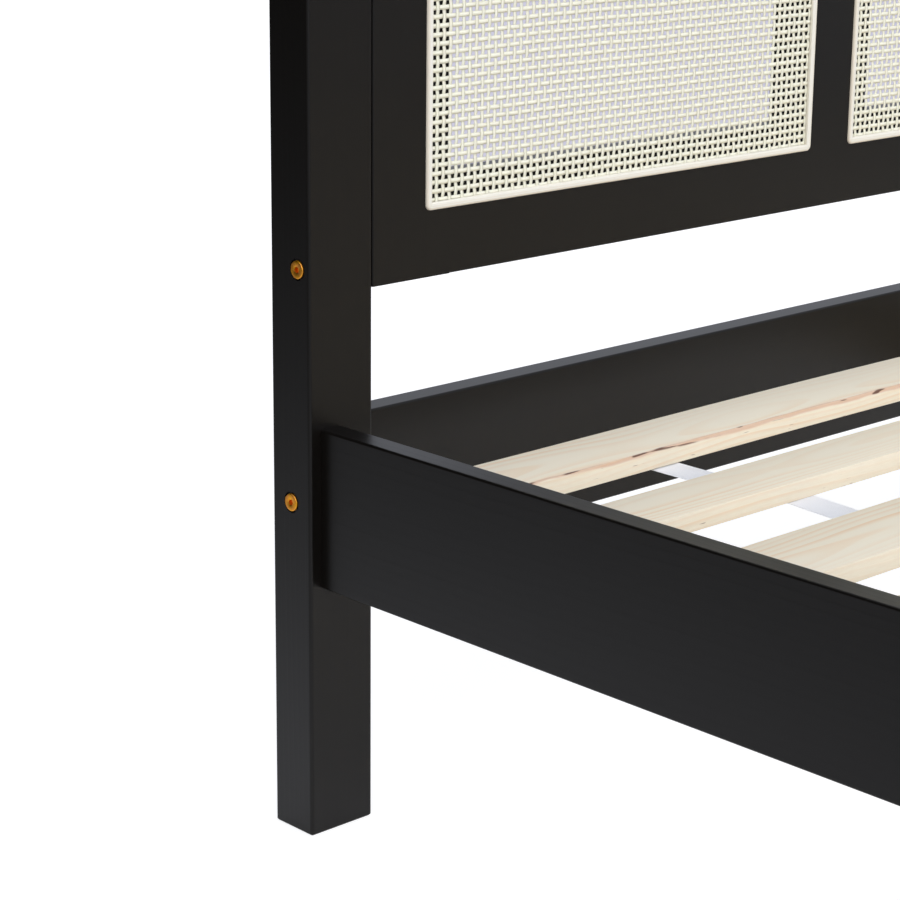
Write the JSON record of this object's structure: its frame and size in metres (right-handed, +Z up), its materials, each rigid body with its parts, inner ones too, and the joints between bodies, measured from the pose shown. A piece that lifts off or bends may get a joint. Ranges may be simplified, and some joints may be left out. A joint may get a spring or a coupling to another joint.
{
  "type": "platform bed",
  "caption": "Low wooden platform bed with a cane-panelled headboard, plank side rails, a roll of pine slats and a centre support beam.",
  "frame": {"origin": "on the floor, under the middle of the bed's outer box", "axes": "+X across the bed, to the right of someone standing at the foot and facing the headboard; +Y along the bed, towards the headboard; +Z up"},
  "size_m": [1.927, 2.142, 1.12],
  "materials": {
    "black_lacquer": "satin black lacquer over wood",
    "pine": "planed, unfinished",
    "cane": "natural cane, semi-matte",
    "bead_wood": "natural, clear matte",
    "webbing": "woven white",
    "yellow_zinc": "yellow zinc plated",
    "bright_steel": "bright zinc plated",
    "black_steel": "black powder coat",
    "nylon": "moulded",
    "beech": "turned, unfinished"
  },
  "bodies": {
    "frame": {"barrel_nuts": "bright_steel", "beam_hanger_foot": "black_steel", "beam_hanger_head": "black_steel", "cane_beads_1": "bead_wood", "cane_beads_2": "bead_wood", "cane_beads_3": "bead_wood", "cane_panel_1": "cane", "cane_panel_2": "cane", "cane_panel_3": "cane", "centre_beam": "pine", "centre_leg_1": "pine", "centre_leg_2": "pine", "centre_leg_3": "pine", "cross_rail_bolts": "yellow_zinc", "foot_inserts": "bright_steel", "foot_leg_left": "black_lacquer", "foot_leg_right": "black_lacquer", "foot_rail": "black_lacquer", "hanger_screws": "bright_steel", "head_post_left": "black_lacquer", "head_post_right": "black_lacquer", "head_rail": "black_lacquer", "headboard_bolts": "yellow_zinc", "headboard_bottom_member": "black_lacquer", "headboard_dowels": "beech", "headboard_mid_stile_1": "black_lacquer", "headboard_mid_stile_2": "black_lacquer", "headboard_stile_left": "black_lacquer", "headboard_stile_right": "black_lacquer", "headboard_top_member": "black_lacquer", "ledge_screws": "bright_steel", "leg_studs": "bright_steel", "rail_dowels": "beech", "side_rail_bolts": "yellow_zinc", "side_rail_left": "black_lacquer", "side_rail_right": "black_lacquer", "slat_ledge_left": "black_lacquer", "slat_ledge_right": "black_lacquer"},
    "slat_roll": {"slat_01": "pine", "slat_02": "pine", "slat_03": "pine", "slat_04": "pine", "slat_05": "pine", "slat_06": "pine", "slat_07": "pine", "slat_08": "pine", "slat_09": "pine", "slat_10": "pine", "slat_11": "pine", "slat_12": "pine", "slat_13": "pine", "slat_strap_left": "webbing", "slat_strap_right": "webbing", "strap_staples": "bright_steel"},
    "leveller_1": {"levelling_foot_1": "nylon"},
    "leveller_2": {"levelling_foot_2": "nylon"},
    "leveller_3": {"levelling_foot_3": "nylon"}
  },
  "joints": [
    {"name": "slat_roll_lift", "type": "slide", "parent": "frame", "child": "slat_roll", "axis": [0, 0, 1], "range_m": [0, 0.25]},
    {"name": "leveller_1_thread", "type": "slide", "parent": "frame", "child": "leveller_1", "axis": [0, 0, 1], "range_m": [0, 0.009]},
    {"name": "leveller_2_thread", "type": "slide", "parent": "frame", "child": "leveller_2", "axis": [0, 0, 1], "range_m": [0, 0.009]},
    {"name": "leveller_3_thread", "type": "slide", "parent": "frame", "child": "leveller_3", "axis": [0, 0, 1], "range_m": [0, 0.009]}
  ]
}
